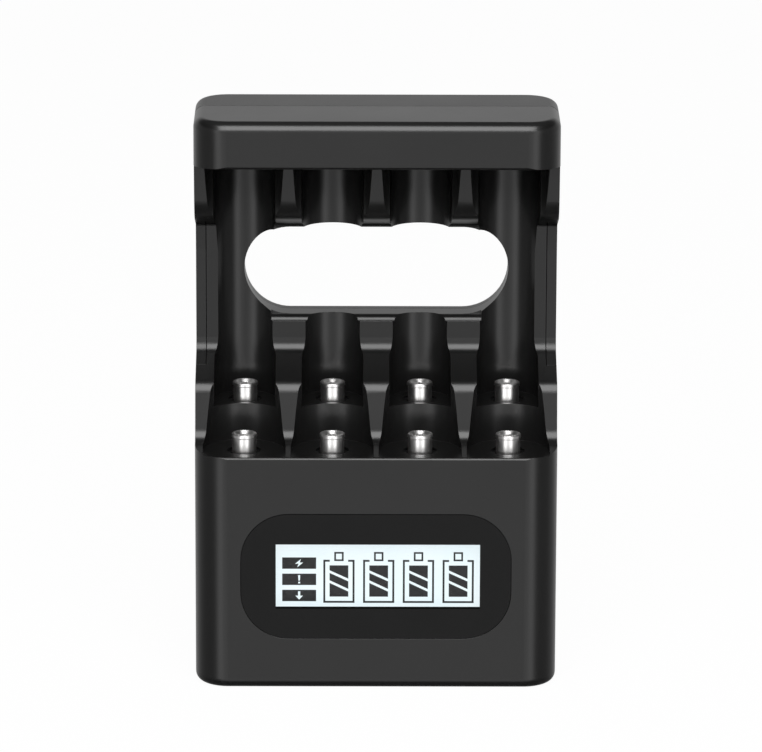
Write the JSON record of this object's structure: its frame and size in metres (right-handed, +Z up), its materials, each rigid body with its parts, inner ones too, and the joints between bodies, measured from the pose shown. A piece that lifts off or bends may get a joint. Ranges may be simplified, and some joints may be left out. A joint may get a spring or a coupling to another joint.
{
  "type": "aa battery charger",
  "caption": "Upright battery charger with stepped open bays for AA and AAA cells, sprung contact plungers, a finger hole through the back and a display panel in the base.",
  "frame": {"origin": "middle of the bottom end, on the surface that the charger stands on", "axes": "+Z up along the length to the head, -Y out of the front with the display, +X to the right seen from the front"},
  "size_m": [0.066, 0.027, 0.1057],
  "materials": {
    "case_plastic": "satin moulded black",
    "lens_plastic": "smooth, printed black on its back",
    "display_glass": "clear",
    "light_guide": "frosted white",
    "circuit_board": "green solder mask",
    "component_black": "moulded",
    "ferrite": "matt",
    "capacitor_can": "satin",
    "nickel": "bright nickel plate",
    "spring_steel": "drawn wire",
    "screw_steel": "zinc plate"
  },
  "bodies": {
    "housing": {"front_shell": "case_plastic", "back_shell": "case_plastic", "display_lens": "lens_plastic", "display_glass": "display_glass", "light_guide": "light_guide", "main_board": "circuit_board", "contact_board": "circuit_board", "board_connector": "component_black", "charge_controller": "component_black", "charge_transistors": "component_black", "inductor": "ferrite", "capacitors": "capacitor_can", "inlet_shell": "nickel", "inlet_tongue": "component_black", "case_screws": "screw_steel", "board_screws": "screw_steel", "aa_spring_1": "spring_steel", "aa_spring_2": "spring_steel", "aa_spring_3": "spring_steel", "aa_spring_4": "spring_steel", "aaa_spring_1": "spring_steel", "aaa_spring_2": "spring_steel", "aaa_spring_3": "spring_steel", "aaa_spring_4": "spring_steel", "head_contact_1": "nickel", "head_contact_2": "nickel", "head_contact_3": "nickel", "head_contact_4": "nickel"},
    "aa_plunger_1": {"aa_plunger_1": "nickel"},
    "aa_plunger_2": {"aa_plunger_2": "nickel"},
    "aa_plunger_3": {"aa_plunger_3": "nickel"},
    "aa_plunger_4": {"aa_plunger_4": "nickel"},
    "aaa_plunger_1": {"aaa_plunger_1": "nickel"},
    "aaa_plunger_2": {"aaa_plunger_2": "nickel"},
    "aaa_plunger_3": {"aaa_plunger_3": "nickel"},
    "aaa_plunger_4": {"aaa_plunger_4": "nickel"}
  },
  "joints": [
    {"name": "aa_plunger_1_press", "type": "slide", "parent": "housing", "child": "aa_plunger_1", "axis": [0, 0, -1], "range_m": [0, 0.0025], "stiffness_N_per_m": 300, "springref_m": -0.003, "deforming": ["aa_spring_1"]},
    {"name": "aa_plunger_2_press", "type": "slide", "parent": "housing", "child": "aa_plunger_2", "axis": [0, 0, -1], "range_m": [0, 0.0025], "stiffness_N_per_m": 300, "springref_m": -0.003, "deforming": ["aa_spring_2"]},
    {"name": "aa_plunger_3_press", "type": "slide", "parent": "housing", "child": "aa_plunger_3", "axis": [0, 0, -1], "range_m": [0, 0.0025], "stiffness_N_per_m": 300, "springref_m": -0.003, "deforming": ["aa_spring_3"]},
    {"name": "aa_plunger_4_press", "type": "slide", "parent": "housing", "child": "aa_plunger_4", "axis": [0, 0, -1], "range_m": [0, 0.0025], "stiffness_N_per_m": 300, "springref_m": -0.003, "deforming": ["aa_spring_4"]},
    {"name": "aaa_plunger_1_press", "type": "slide", "parent": "housing", "child": "aaa_plunger_1", "axis": [0, 0, -1], "range_m": [0, 0.0025], "stiffness_N_per_m": 300, "springref_m": -0.003, "deforming": ["aaa_spring_1"]},
    {"name": "aaa_plunger_2_press", "type": "slide", "parent": "housing", "child": "aaa_plunger_2", "axis": [0, 0, -1], "range_m": [0, 0.0025], "stiffness_N_per_m": 300, "springref_m": -0.003, "deforming": ["aaa_spring_2"]},
    {"name": "aaa_plunger_3_press", "type": "slide", "parent": "housing", "child": "aaa_plunger_3", "axis": [0, 0, -1], "range_m": [0, 0.0025], "stiffness_N_per_m": 300, "springref_m": -0.003, "deforming": ["aaa_spring_3"]},
    {"name": "aaa_plunger_4_press", "type": "slide", "parent": "housing", "child": "aaa_plunger_4", "axis": [0, 0, -1], "range_m": [0, 0.0025], "stiffness_N_per_m": 300, "springref_m": -0.003, "deforming": ["aaa_spring_4"]}
  ]
}
